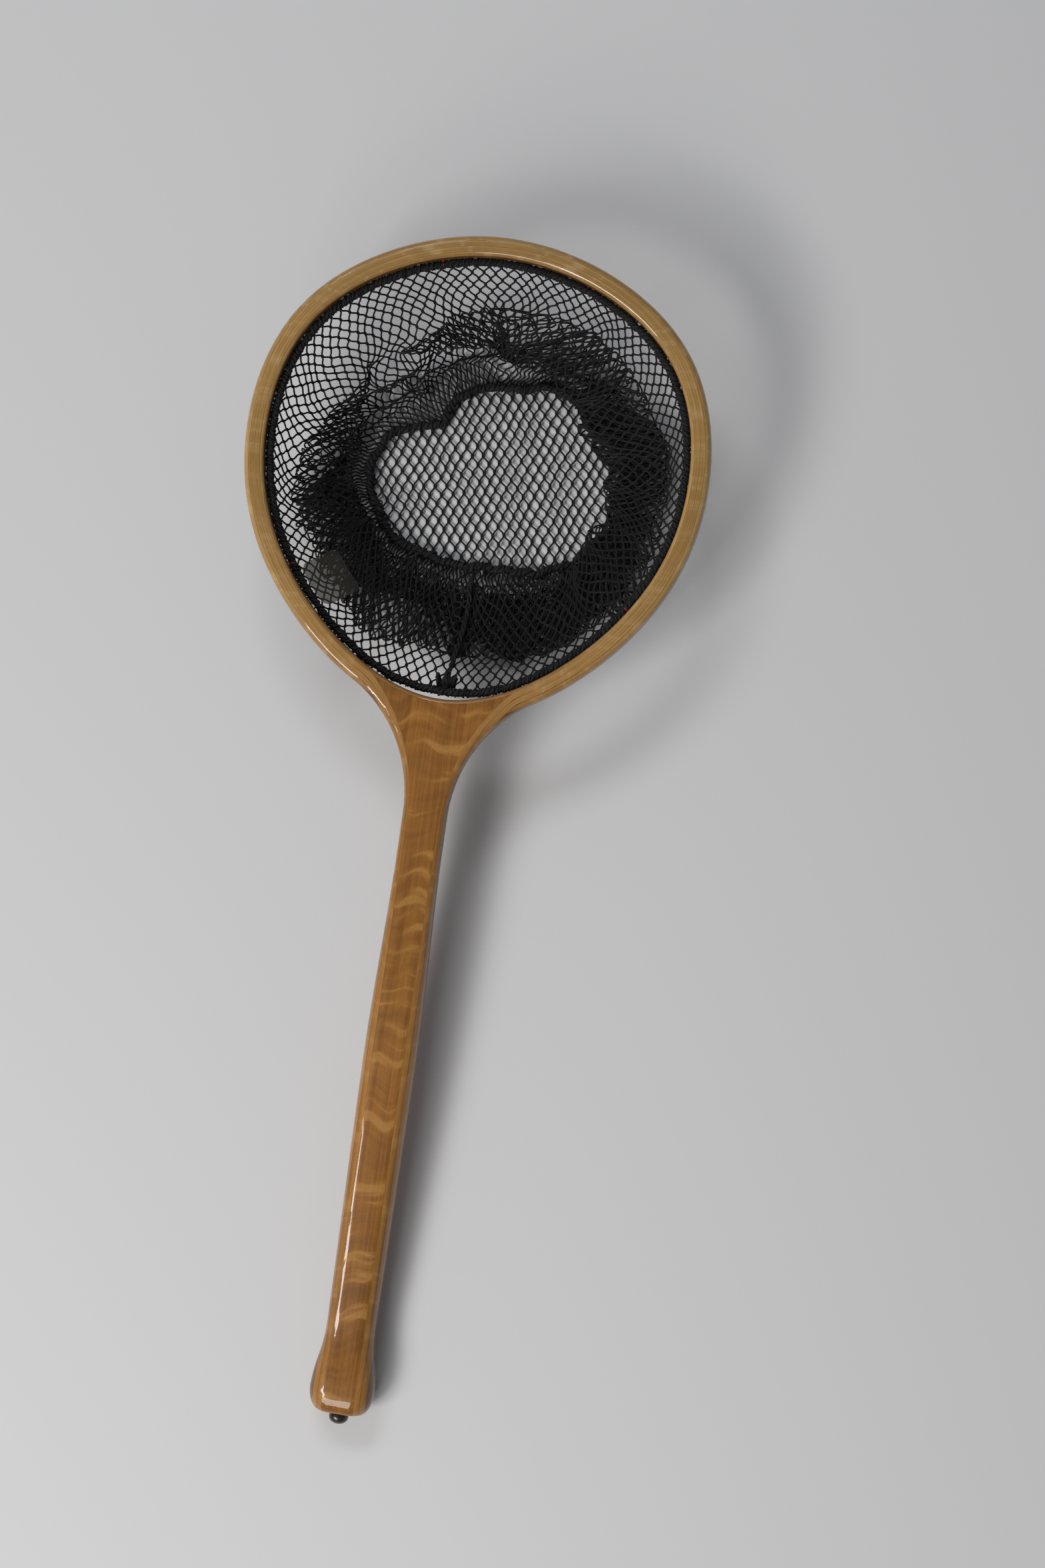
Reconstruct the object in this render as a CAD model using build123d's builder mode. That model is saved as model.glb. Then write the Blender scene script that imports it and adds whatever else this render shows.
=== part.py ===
from build123d import *

# Long-handled landing net: a hoop of bent wooden strips glued round a shaped handle core,
# with a netting bag laced into the hoop by a thread that runs in a groove round the outside.
# The net lies at rest: the butt of the handle and the bottom of the bag touch Z = 0, and the
# crumpled bag props the hoop up. +Y runs from the butt to the hoop, +Z is up, millimetres.

import math
import os

os.makedirs("parts", exist_ok=True)

# ---- the opening of the hoop, with places measured along the handle from the butt ----
opening_half_width = 121.3     # half the clear width of the hoop
opening_widest_at = 547.0      # distance from the butt to the widest place
opening_to_tip = 113.0         # from the widest place to the inside of the tip
opening_to_throat = 139.0      # from the widest place back to the throat, by the handle
throat_slimming = 0.18         # how far the throat end is drawn in, as on a pear
tip_fullness = 0.04            # how far the tip end is fuller than an ellipse

# ---- wooden strips of the hoop ----
inner_ply = 2.0                # inside strip, which also lines the concave throat
outer_strip = 3.2              # each of the three outer strips
hoop_height = 15.0             # hoop size across the plane of the net
head_edge_round = 4.2          # rounding on the outside edges of the hoop and the head
opening_edge_round = 3.0       # rounding on the inside edges of the hoop

# ---- handle ----
core_half_width = 9.0          # half the width of the core between the strips
core_flare_radius = 110.0      # bend of the strips where they leave the handle for the hoop
flare_before_throat = 68.0     # distance from the throat back to where that bend starts
strip_fairing_radius = 45.0    # softens the strips' turn from the core on to the hoop
neck_half_width = 12.4
neck_fairing_radius = 82.0     # hollow curve from the neck on to the outside of the hoop
neck_bite = 0.3                # how far that curve cuts into the hoop's outline
neck_blend_radius = 60.0       # softens the corner that the bite leaves
neck_straight = 10.0           # straight length between the shaped handle and the flare
outer_strip_start = 45.0       # degrees up the neck curve where the outside strip starts
bulb_half_width = 18.5
bulb_half_depth = 13.5
bulb_at = 13.0                 # distance of the fattest place of the butt from its end
bulb_corner = 11.5
butt_share = 0.62              # size of the flat end of the butt, as a share of the bulb
waist_half_width = 14.0
waist_half_depth = 10.4
waist_at = 46.0
waist_corner = 8.6
grip_half_width = 15.0
grip_half_depth = 10.8
grip_at = 205.0
grip_corner = 8.4
butt_hollow_depth = 1.4
butt_hollow_radius = 26.0

# ---- how the net lies ----
rest_tilt = 6.0                # degrees between the plane of the hoop and the table

# ---- lanyard button on the butt ----
button_radius = 5.6
button_length = 8.4
button_gap = 0.2               # between the button and the hollow of the butt
stud_radius = 1.5
stud_depth = 24.0              # how far the stud goes into the core
stud_in_button = 5.0
stud_clearance = 0.1

# ---- lacing ----
groove_width = 1.8
groove_depth = 1.5
groove_run_out = 27.0          # degrees up the neck curve where the groove starts
lacing_thread = 1.1
lace_hole_radius = 0.9
lace_hole_spacing = 18.0
lace_start_half_width = 47.0   # the lacing stops this far from the axis, short of the throat
stitch_radius = 0.55
thread_clearance = 0.1

# ---- netting bag ----
rim_rope = 4.0                 # thickness of the gathered rim of the bag
rim_rope_drop = 1.0            # how far the rope hangs below the middle of the hoop
rim_rope_round = 1.5
rim_gap = 0.4                  # between the rim rope and the wood
netting = 1.5                  # thickness that stands for the netting and its folds
bag_floor_scale = 0.93         # outline of the bag where it lies, as a share of the opening
panel_radius = 64.0            # flat bottom panel
seam_radius = 1.7              # cord of gathered netting round the bottom panel
part_gap = 0.3                 # between neighbouring soft pieces
side_seam_width = 4.0
gather_radius = 5.0            # bundle where the side seam meets the rim
gather_length = 15.0
gather_round = 4.0
tab_width = 28.0
tab_length = 28.0
tab_thickness = 0.8
tab_turn = 220.0               # where the tab hangs, in degrees round the opening
tab_slope = 38.0               # degrees that the tab dips from the rim towards the bag
tab_corner = 3.0

handle_section_spacing = 11.0  # between the drawn cross sections of the handle
REGION_HALF_HEIGHT = 40.0      # half height of the plain blocks that part the strips


def opening_point(turn):
    """A point of the inside edge of the hoop; turn 0 is the right side and 90 the tip."""
    c, s = math.cos(math.radians(turn)), math.sin(math.radians(turn))
    if s < 0:
        shape = 1 - throat_slimming * (-s) ** 2.5
        return opening_half_width * c * shape, opening_widest_at + opening_to_throat * s
    shape = 1 + tip_fullness * math.sin(math.radians(2 * turn)) ** 2
    return opening_half_width * c * shape, opening_widest_at + opening_to_tip * s


def outward(turn):
    """The direction square to the edge of the opening, pointing out through the hoop."""
    step = 0.05
    x0, y0 = opening_point(turn - step)
    x1, y1 = opening_point(turn + step)
    length = math.hypot(x1 - x0, y1 - y0)
    return (y1 - y0) / length, (x0 - x1) / length


def hoop_point(turn, out):
    """The point at a distance out from the edge of the opening."""
    x, y = opening_point(turn)
    nx, ny = outward(turn)
    return x + out * nx, y + out * ny


def hoop_arcs():
    """The opening as tangent arcs: centre, radius, start and sweep in degrees, anticlockwise."""
    right_half = [-90, -76, -62, -45, -20, 10, 40, 65]
    turns = right_half + [180 - turn for turn in [90] + right_half[:0:-1]] + [270]
    arcs = []
    for turn, next_turn in zip(turns, turns[1:]):
        (x0, y0), (x1, y1) = opening_point(turn), opening_point(next_turn)
        first, last = (math.atan2(*reversed(outward(t))) for t in (turn, next_turn))
        last += 2 * math.pi if last < first else 0
        middle = (first + last) / 2
        ax, ay = math.cos(middle) - math.cos(first), math.sin(middle) - math.sin(first)
        bx, by = math.cos(last) - math.cos(middle), math.sin(last) - math.sin(middle)
        area = ax * by - ay * bx
        radius_a = ((x1 - x0) * by - (y1 - y0) * bx) / area
        radius_b = ((y1 - y0) * ax - (x1 - x0) * ay) / area
        centre_a = (x0 - radius_a * math.cos(first), y0 - radius_a * math.sin(first))
        centre_b = (x1 - radius_b * math.cos(last), y1 - radius_b * math.sin(last))
        sweep = math.degrees(middle - first)
        arcs.append((centre_a, radius_a, math.degrees(first), sweep))
        arcs.append((centre_b, radius_b, math.degrees(middle), sweep))
    return arcs


opening_arcs = hoop_arcs()


def outline_arcs(out, scale=1.0):
    """Draws the outline at a distance out, shrunk about the widest place by scale."""
    for (x, y), radius, start, sweep in opening_arcs:
        centre = (x * scale, opening_widest_at + (y - opening_widest_at) * scale)
        CenterArc(centre, (radius + out) * scale, start, sweep)


# distance from the butt to the start of the strips' bend
core_flare_start = opening_widest_at - opening_to_throat - flare_before_throat
# distances out from the opening to each joint between strips, and to the outside
strip_edges = [inner_ply + outer_strip * count for count in range(4)]
hoop_width = strip_edges[-1]


# ---- the plane of the net, set so that the butt just touches the table ----
tilt = math.radians(rest_tilt)
hoop_tip = opening_widest_at + opening_to_tip + hoop_width
butt_rise = bulb_half_depth * math.cos(tilt) - bulb_at * math.sin(tilt)
tip_flat = hoop_height / 2 - head_edge_round
reach_forward = (hoop_tip - head_edge_round) * math.cos(tilt) + tip_flat * math.sin(tilt)
reach_forward += head_edge_round
button_middle = butt_hollow_depth - button_gap - button_length / 2
button_reach = math.hypot(button_length / 2 * math.cos(tilt), button_radius * math.sin(tilt))
reach_back = button_middle * math.cos(tilt) - button_reach
butt_origin = Vector(0, -(reach_forward + reach_back) / 2, butt_rise)
net_plane = Plane(
    origin=butt_origin,
    x_dir=(1, 0, 0),
    z_dir=(0, -math.sin(tilt), math.cos(tilt)),
)
normal_axis = Axis(butt_origin, net_plane.z_dir)
table_plane = Plane((0, butt_origin.Y + opening_widest_at * (math.cos(tilt) - 1), 0))


def net_point(x, y, z=0.0):
    return net_plane.from_local_coords(Vector(x, y, z))


def net_vector(x, y, z=0.0):
    return net_point(x, y, z) - butt_origin


def cross_plane(along):
    """A plane square to the handle at a distance along it from the butt."""
    return Plane(origin=net_point(0, along), x_dir=net_plane.x_dir, z_dir=net_plane.y_dir)


# ---- the neck's hollow curve, placed so that it just bites into the outside of the hoop ----
neck_centre_x = neck_half_width + neck_fairing_radius
right_flank = [hoop_point(-90 + 0.25 * i, hoop_width) for i in range(1, 361)]


def clear_of_hoop(y):
    return min(math.hypot(px - neck_centre_x, py - y) for px, py in right_flank)


def find_neck():
    low, high = 0.0, opening_widest_at
    for _ in range(40):
        middle = (low + high) / 2
        if clear_of_hoop(middle) < neck_fairing_radius - neck_bite:
            high = middle
        else:
            low = middle
    return low


neck_at = find_neck()
touch = min(right_flank, key=lambda p: math.hypot(p[0] - neck_centre_x, p[1] - neck_at))
neck_sweep = math.degrees(math.atan2(touch[1] - neck_at, neck_centre_x - touch[0]))


def hoop_face(out):
    """The region inside a closed curve that runs round the hoop."""
    with BuildSketch(net_plane) as face:
        with BuildLine():
            outline_arcs(out)
        make_face()
    return face.sketch


def hoop_and_handle(out, half_width, radius, start, sweep, bottom):
    """The hoop's region joined to a straight-sided handle that flares into it in arcs."""
    centre_x = half_width + radius
    end_x = centre_x - radius * math.cos(math.radians(sweep))
    end_y = start + radius * math.sin(math.radians(sweep))
    with BuildSketch(net_plane) as face:
        with BuildLine():
            Polyline((0, bottom), (half_width, bottom), (half_width, start))
            CenterArc((centre_x, start), radius, 180, -sweep)
            Polyline((end_x, end_y), (0, end_y), (0, bottom))
        make_face()
        mirror(about=Plane.YZ)
        with BuildLine():
            outline_arcs(out)
        make_face()
    return face.sketch


def inside_hoop(out):
    """A plain block that fills the hoop up to a distance out from the opening."""
    with BuildPart() as block:
        extrude(hoop_face(out), amount=REGION_HALF_HEIGHT, dir=net_plane.z_dir, both=True)
    return block.part


def kinks(part, above):
    """The upright edges where the flared handle outline runs into the hoop's outline."""
    found = []
    for edge in part.edges().filter_by(normal_axis):
        along = net_plane.to_local_coords(edge.center()).Y
        if above < along < opening_widest_at:
            found.append(edge)
    return found


CORE_SWEEP = 52                # degrees of the core's flare, enough to reach the hoop
BELOW_BUTT = -30.0


def strip_region(steps):
    """Everything inside the joint that lies a number of outer strips out from the core."""
    out = outer_strip * steps
    flare = (core_half_width + out, core_flare_radius - out, core_flare_start)
    outline = hoop_and_handle(strip_edges[steps], *flare, CORE_SWEEP, BELOW_BUTT)
    with BuildPart() as region:
        extrude(outline, amount=REGION_HALF_HEIGHT, dir=net_plane.z_dir, both=True)
        if steps:
            fillet(kinks(region.part, core_flare_start + 1), radius=strip_fairing_radius)
    return region.part


# ---- the wooden frame as one blank, before it is parted into its strips ----
with BuildPart() as head:
    neck = (neck_half_width, neck_fairing_radius, neck_at, neck_sweep, neck_at - neck_straight)
    outline = hoop_and_handle(hoop_width, *neck)
    extrude(outline, amount=hoop_height / 2, dir=net_plane.z_dir, both=True)
    fillet(kinks(head.part, neck_at + 1), radius=neck_blend_radius)
    neck_end = head.faces().sort_by(Axis(butt_origin, net_plane.y_dir))[0].edges()
    flat_edges = head.faces().filter_by(normal_axis).edges()
    fillet([edge for edge in flat_edges if edge not in neck_end], radius=head_edge_round)
    add(inside_hoop(0), mode=Mode.SUBTRACT)
    flats = head.faces().filter_by(normal_axis)
    mouth = [edge for flat in flats for wire in flat.inner_wires() for edge in wire.edges()]
    fillet(mouth, radius=opening_edge_round)

# the handle swells and narrows smoothly between these places: distance from the end of the
# butt, half width, half depth and rounding of the corners
handle_stations = [
    (bulb_at, bulb_half_width, bulb_half_depth, bulb_corner),
    (waist_at, waist_half_width, waist_half_depth, waist_corner),
    (grip_at, grip_half_width, grip_half_depth, grip_corner),
    (neck_at - 2 * neck_straight, neck_half_width, hoop_height / 2, head_edge_round),
    (neck_at - neck_straight, neck_half_width, hoop_height / 2, head_edge_round),
]


def handle_section(along, half_width, half_depth, corner):
    with BuildSketch(cross_plane(along)) as section:
        RectangleRounded(2 * half_width, 2 * half_depth, corner)
    return section.sketch


# the round end of the butt grows from its flat end to the bulb as a quarter of an ellipse
butt_sections = []
for degrees in (0, 22.5, 45, 67.5, 90):
    angle = math.radians(degrees)
    size = butt_share + (1 - butt_share) * math.sin(angle)
    bulb = [size * value for value in handle_stations[0][1:]]
    butt_sections.append(handle_section(bulb_at * (1 - math.cos(angle)), *bulb))

with BuildPart() as butt_end:
    loft(butt_sections)
    with Locations(net_point(0, butt_hollow_depth - butt_hollow_radius)):
        Sphere(butt_hollow_radius, mode=Mode.SUBTRACT)

grip_sections = []
for here, beyond in zip(handle_stations, handle_stations[1:]):
    steps = max(1, round((beyond[0] - here[0]) / handle_section_spacing))
    for step in range(steps):
        share = step / steps
        ease = share * share * (3 - 2 * share)
        sizes = [a + (b - a) * ease for a, b in zip(here[1:], beyond[1:])]
        grip_sections.append(handle_section(here[0] + (beyond[0] - here[0]) * share, *sizes))
grip_sections.append(handle_section(*handle_stations[-1]))

with BuildPart() as handle_blank:
    loft(grip_sections)

with BuildPart() as frame_blank:
    add(head.part)
    add(handle_blank.part)
    add(butt_end.part)


# ---- the lacing thread's groove and the holes for its stitches ----
def groove_region(shallow, deep, width):
    """A band round the outside of the hoop and up the neck's hollow curves."""
    run_out = math.radians(groove_run_out)
    centre = (neck_centre_x, neck_at)
    near, far = neck_fairing_radius + shallow, neck_fairing_radius + deep
    start_near = (centre[0] - near * math.cos(run_out), centre[1] + near * math.sin(run_out))
    start_far = (centre[0] - far * math.cos(run_out), centre[1] + far * math.sin(run_out))
    sweep = neck_sweep - groove_run_out
    with BuildSketch(net_plane) as band:
        with BuildLine():
            outline_arcs(hoop_width - shallow)
        make_face()
        with BuildLine():
            outline_arcs(hoop_width - deep)
        make_face(mode=Mode.SUBTRACT)
        with Locations((0, touch[1] - opening_half_width)):
            Rectangle(2 * touch[0], 2 * opening_half_width, mode=Mode.SUBTRACT)
        with BuildLine():
            first = CenterArc(centre, near, 180 - groove_run_out, -sweep)
            second = CenterArc(centre, far, 180 - groove_run_out, -sweep)
            Line(start_near, start_far)
            Line(first @ 1, second @ 1)
        make_face()
        mirror(about=Plane.YZ)
    with BuildPart() as ring:
        extrude(band.sketch, amount=width / 2, dir=net_plane.z_dir, both=True)
    return ring.part


def lace_turns():
    """Evenly spaced places for the stitches, from one side of the throat over the tip."""
    turns = [-90 + 0.1 * i for i in range(1801)]
    points = [opening_point(turn) for turn in turns]
    first = next(i for i, point in enumerate(points) if point[0] > lace_start_half_width)
    last = len(turns) - 1
    lengths = [0.0]
    for i in range(first, last):
        lengths.append(lengths[-1] + math.dist(points[i], points[i + 1]))
    gaps = round(lengths[-1] / lace_hole_spacing)
    right = []
    for step in range(gaps + 1):
        wanted = lengths[-1] * step / gaps
        nearest = min(range(len(lengths)), key=lambda i: abs(lengths[i] - wanted))
        right.append(turns[first + nearest])
    return right + [180 - turn for turn in reversed(right[:-1])]


lace_planes = []
for turn in lace_turns():
    nx, ny = outward(turn)
    hole_mouth = net_point(*hoop_point(turn, -rim_gap))
    lace_planes.append(Plane(origin=hole_mouth, x_dir=net_plane.z_dir, z_dir=net_vector(nx, ny)))

from_wood = (Align.CENTER, Align.CENTER, Align.MIN)

with BuildPart() as lace_holes:
    with Locations(lace_planes):
        Cylinder(lace_hole_radius, 2 * hoop_width, align=from_wood)

groove = groove_region(-groove_depth, groove_depth, groove_width)


# ---- the strips: each is the part of the blank between two joints ----
def strip(outside, inside):
    with BuildPart() as piece:
        add(frame_blank.part)
        if outside is not None:
            add(outside, mode=Mode.INTERSECT)
        if inside is not None:
            add(inside, mode=Mode.SUBTRACT)
        add(groove, mode=Mode.SUBTRACT)
        add(lace_holes.part, mode=Mode.SUBTRACT)
    return piece.part


inner_block = inside_hoop(inner_ply)
core_block, second_block, third_block = (strip_region(steps) for steps in range(3))

# the outside strip would taper to nothing on the neck, so it ends bluntly and the third strip
# fills out the neck and the cheeks of the butt
strip_end = neck_at + neck_fairing_radius * math.sin(math.radians(outer_strip_start))
with BuildPart() as third_reach:
    add(third_block)
    with Locations(cross_plane(strip_end)):
        Box(
            4 * opening_half_width, 2 * REGION_HALF_HEIGHT, strip_end - BELOW_BUTT,
            align=(Align.CENTER, Align.CENTER, Align.MAX),
        )

strips = {
    "hoop_inner_ply": strip(inner_block, None),
    "hoop_second_ply": strip(second_block, core_block),
    "hoop_third_ply": strip(third_reach.part, second_block),
    "hoop_outer_ply": strip(None, third_reach.part),
}
for name, piece in strips.items():
    piece.label = name
    export_step(piece, f"parts/{name}.step")

# ---- the handle core, with a blind hole for the button's stud ----
button_end = butt_hollow_depth - button_gap
stud_start = button_end - stud_in_button
stud_end = butt_hollow_depth + stud_depth
with BuildPart() as handle_core:
    add(frame_blank.part)
    add(core_block, mode=Mode.INTERSECT)
    add(inner_block, mode=Mode.SUBTRACT)
    with Locations(cross_plane(0)):
        Cylinder(
            stud_radius + stud_clearance, stud_end + stud_clearance, align=from_wood,
            mode=Mode.SUBTRACT,
        )
handle_core.part.label = "handle_core"
export_step(handle_core.part, "parts/handle_core.step")

# ---- the lanyard button, a flattened ball, on its stud ----
button_plane = Plane(net_point(0, button_middle), x_dir=net_plane.x_dir, z_dir=net_plane.z_dir)
with BuildPart() as lanyard_button:
    with BuildSketch(button_plane):
        Ellipse(button_radius, button_length / 2)
        with Locations((-button_radius, 0)):
            Rectangle(2 * button_radius, 2 * button_length, mode=Mode.SUBTRACT)
    revolve(axis=Axis(butt_origin, net_plane.y_dir))
    with Locations(cross_plane(stud_start - stud_clearance)):
        Cylinder(
            stud_radius + stud_clearance, button_length, align=from_wood, mode=Mode.SUBTRACT
        )
lanyard_button.part.label = "lanyard_button"
export_step(lanyard_button.part, "parts/lanyard_button.step")

with BuildPart() as button_stud:
    with Locations(cross_plane(stud_start)):
        Cylinder(stud_radius, stud_end - stud_start, align=from_wood)
button_stud.part.label = "button_stud"
export_step(button_stud.part, "parts/button_stud.step")

# ---- the lacing: the thread in the groove, and a stitch through every hole ----
thread_under = groove_depth - thread_clearance
with BuildPart() as groove_thread:
    add(groove_region(thread_under - lacing_thread, thread_under, lacing_thread))
groove_thread.part.label = "lacing_thread"
export_step(groove_thread.part, "parts/lacing_thread.step")

with BuildPart() as stitches:
    stitch_length = hoop_width + rim_gap - groove_depth - thread_clearance
    with Locations([plane.offset(thread_clearance) for plane in lace_planes]):
        Cylinder(stitch_radius, stitch_length - thread_clearance, align=from_wood)
stitches.part.label = "lacing_stitches"
export_step(stitches.part, "parts/lacing_stitches.step")

# ---- the rim of the bag: a gathered rope of netting inside the hoop ----
rope_plane = net_plane.offset(-rim_rope_drop)
rope_out = -rim_gap - rim_rope
with BuildPart() as rope:
    with BuildSketch(rope_plane):
        with BuildLine():
            outline_arcs(-rim_gap)
        make_face()
        with BuildLine():
            outline_arcs(rope_out)
        make_face(mode=Mode.SUBTRACT)
    extrude(amount=rim_rope / 2, both=True)
    fillet(rope.faces().filter_by(normal_axis).edges(), radius=rim_rope_round)
rope.part.label = "rim_rope"
export_step(rope.part, "parts/rim_rope.step")

# ---- the bag wall: from just under the rope down to the table, then in to the seam ----
wall_top = -rim_rope_drop - rim_rope / 2 - part_gap
wall_out = -2 * rim_gap
seam_ring_radius = panel_radius + part_gap + seam_radius
floor_hole_radius = seam_ring_radius + seam_radius + part_gap


def bag_section(plane, out, scale):
    with BuildSketch(plane) as section:
        with BuildLine():
            outline_arcs(out, scale)
        make_face()
    return section.sketch


inner_table = table_plane.offset(netting)
with BuildPart() as bag_wall:
    loft([
        bag_section(table_plane, wall_out, bag_floor_scale),
        bag_section(net_plane.offset(wall_top), wall_out, 1.0),
    ])
    loft(
        [
            bag_section(inner_table, wall_out - netting, bag_floor_scale),
            bag_section(net_plane.offset(wall_top), wall_out - netting, 1.0),
        ],
        mode=Mode.SUBTRACT,
    )
    with BuildSketch(table_plane):
        with Locations((0, opening_widest_at)):
            Circle(floor_hole_radius)
    extrude(amount=netting, mode=Mode.SUBTRACT)
bag_wall.part.label = "bag_wall"
export_step(bag_wall.part, "parts/bag_wall.step")

with BuildPart() as bag_bottom:
    with BuildSketch(table_plane):
        with Locations((0, opening_widest_at)):
            Circle(panel_radius)
    extrude(amount=netting)
bag_bottom.part.label = "bag_bottom_panel"
export_step(bag_bottom.part, "parts/bag_bottom_panel.step")

panel_centre = table_plane.from_local_coords(Vector(0, opening_widest_at, seam_radius))
with BuildPart() as bottom_seam:
    with Locations(panel_centre):
        Torus(seam_ring_radius, seam_radius)
bottom_seam.part.label = "bottom_seam"
export_step(bottom_seam.part, "parts/bottom_seam.step")

# ---- the side seam, down the inside of the wall at the throat, and its gathered end ----
throat_y = hoop_point(-90, wall_out - netting)[1]
throat_floor_y = opening_widest_at + (throat_y - opening_widest_at) * bag_floor_scale
wall_head = net_point(0, throat_y, wall_top)
wall_foot = table_plane.from_local_coords(Vector(0, throat_floor_y, netting))
down_wall = (wall_foot - wall_head).normalized()
off_wall = Vector(1, 0, 0).cross(down_wall).normalized()
if off_wall.Y < 0:
    off_wall = -off_wall
gather_centre = wall_head + down_wall * (gather_radius + 2 * part_gap)
gather_centre += off_wall * (gather_radius + 2 * part_gap + rim_rope - netting)
with BuildPart() as seam_gather:
    with Locations(Plane(gather_centre, x_dir=down_wall, z_dir=(1, 0, 0))):
        Cylinder(gather_radius, gather_length)
    fillet(seam_gather.edges().filter_by(GeomType.CIRCLE), radius=gather_round)
seam_gather.part.label = "seam_gather"
export_step(seam_gather.part, "parts/seam_gather.step")

seam_start = wall_head + off_wall * (part_gap + netting / 2) + down_wall * part_gap * 2
seam_length = (wall_foot - wall_head).length - 4 * netting
seam_plane = Plane(seam_start, x_dir=(1, 0, 0), z_dir=down_wall)
with BuildPart() as side_seam:
    with BuildSketch(seam_plane):
        Rectangle(side_seam_width, netting)
    extrude(amount=seam_length)
side_seam.part.label = "side_seam"
export_step(side_seam.part, "parts/side_seam.step")

# ---- a clear smoky tab that hangs from the rim on the inside of the bag ----
tab_nx, tab_ny = outward(tab_turn)
tab_dip = math.radians(tab_slope)
rim_x, rim_y = hoop_point(tab_turn, rope_out - part_gap - tab_thickness)
into_bag = net_vector(-tab_nx, -tab_ny)
tab_down = into_bag * math.cos(tab_dip) - net_plane.z_dir * math.sin(tab_dip)
tab_across = net_vector(-tab_ny, tab_nx)
tab_hang = net_point(rim_x, rim_y, -rim_rope_drop)
tab_plane = Plane(tab_hang, x_dir=tab_across, z_dir=tab_across.cross(tab_down))
with BuildPart() as label_tab:
    with BuildSketch(tab_plane):
        with Locations((0, tab_length / 2)):
            RectangleRounded(tab_width, tab_length, tab_corner)
    extrude(amount=tab_thickness)
label_tab.part.label = "label_tab"
export_step(label_tab.part, "parts/label_tab.step")
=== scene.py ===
# %% [markdown]
# # A wooden landing net
# This lesson dresses a landing net, the hand net of a trout fisher, in Blender. The wooden
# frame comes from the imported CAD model, which is fixed. The soft parts are made here.
# Everything is in metres: +Y runs from the butt of the handle to the hoop and +Z is up.

import math

import bmesh
import bpy
import numpy as np
from mathutils import Matrix, Vector, noise


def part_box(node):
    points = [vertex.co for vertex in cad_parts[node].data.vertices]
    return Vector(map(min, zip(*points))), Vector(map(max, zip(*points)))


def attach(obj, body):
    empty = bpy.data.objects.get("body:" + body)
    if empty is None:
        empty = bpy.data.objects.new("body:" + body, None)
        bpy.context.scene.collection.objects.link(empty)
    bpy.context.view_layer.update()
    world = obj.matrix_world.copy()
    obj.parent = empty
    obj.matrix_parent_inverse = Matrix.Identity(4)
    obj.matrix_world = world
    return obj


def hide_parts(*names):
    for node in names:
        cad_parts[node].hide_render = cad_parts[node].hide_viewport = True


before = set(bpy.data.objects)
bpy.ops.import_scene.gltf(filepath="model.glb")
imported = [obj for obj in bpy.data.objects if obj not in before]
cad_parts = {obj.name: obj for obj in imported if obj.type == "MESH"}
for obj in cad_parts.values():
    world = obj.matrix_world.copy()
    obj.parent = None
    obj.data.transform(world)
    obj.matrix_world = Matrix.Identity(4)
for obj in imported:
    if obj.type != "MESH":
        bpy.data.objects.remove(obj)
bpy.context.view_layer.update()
scene = bpy.context.scene

# %% [markdown]
# ## Where the net lies
# The hoop and the handle share one plane, tilted 6 degrees from the table, because the
# crumpled bag props the hoop up. A helper turns a place in that plane into a place in the
# room. The opening is a pear: an ellipse for the tip, drawn in towards the throat.

# %% The plane of the net and the outline of the opening
TILT = math.radians(6.0)
BUTT = Vector((0.0, -0.330544, 0.012067))
OPENING_HALF_WIDTH = 0.1213
WIDEST_AT = 0.547
TO_TIP, TO_THROAT = 0.113, 0.139
THROAT_SLIMMING, TIP_FULLNESS = 0.18, 0.04
HOOP_WIDTH = 0.0116


def net_point(x, along, up=0.0):
    """A place in the room from a place in the plane of the net."""
    y = along * math.cos(TILT) - up * math.sin(TILT)
    z = along * math.sin(TILT) + up * math.cos(TILT)
    return BUTT + Vector((x, y, z))


def opening_point(turn):
    """The inside edge of the hoop; turn 0 is the right side and 90 degrees the tip."""
    c, s = math.cos(math.radians(turn)), math.sin(math.radians(turn))
    if s < 0:
        shape = 1 - THROAT_SLIMMING * (-s) ** 2.5
        return OPENING_HALF_WIDTH * c * shape, WIDEST_AT + TO_THROAT * s
    shape = 1 + TIP_FULLNESS * math.sin(math.radians(2 * turn)) ** 2
    return OPENING_HALF_WIDTH * c * shape, WIDEST_AT + TO_TIP * s


def hoop_point(turn, out):
    """The place at a distance out from the edge of the opening, in the net's plane."""
    (x0, y0), (x1, y1) = opening_point(turn - 0.05), opening_point(turn + 0.05)
    length = math.hypot(x1 - x0, y1 - y0)
    x, y = opening_point(turn)
    return x + out * (y1 - y0) / length, y + out * (x0 - x1) / length


print("tip of the opening", [round(v, 4) for v in net_point(*opening_point(90))])

# %% Walking along a line of points


def walked(line):
    """How far along the line each of its points is."""
    return np.concatenate([[0], np.cumsum(np.linalg.norm(np.diff(line, axis=0), axis=1))])


def respaced(line, count):
    """The line again, with evenly spaced points."""
    walk = walked(line)
    marks = np.linspace(0, walk[-1], count)
    return np.stack([np.interp(marks, walk, line[:, axis]) for axis in range(3)], 1)


print("a line 1 m long measures", walked(np.array([[0, 0, 0], [0, 1, 0]]))[-1], "m")

# %% A piece from a bmesh


def from_shape(name, shape, material=None):
    """An object with the mesh of a bmesh, which is used up."""
    mesh = bpy.data.meshes.new(name)
    shape.to_mesh(mesh)
    shape.free()
    if material:
        mesh.materials.append(material)
    made = bpy.data.objects.new(name, mesh)
    scene.collection.objects.link(made)
    return made


print("shape helper ready")

# %% [markdown]
# ## Small helpers for materials
# A material is a graph of nodes. These helpers keep each recipe short: one starts a material
# with its shader's fixed values, one adds a node, and the others are the few nodes that every
# finish here is made of: a stretched place, a soft noise, a soft threshold and a mix.

# %% Material helpers


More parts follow.
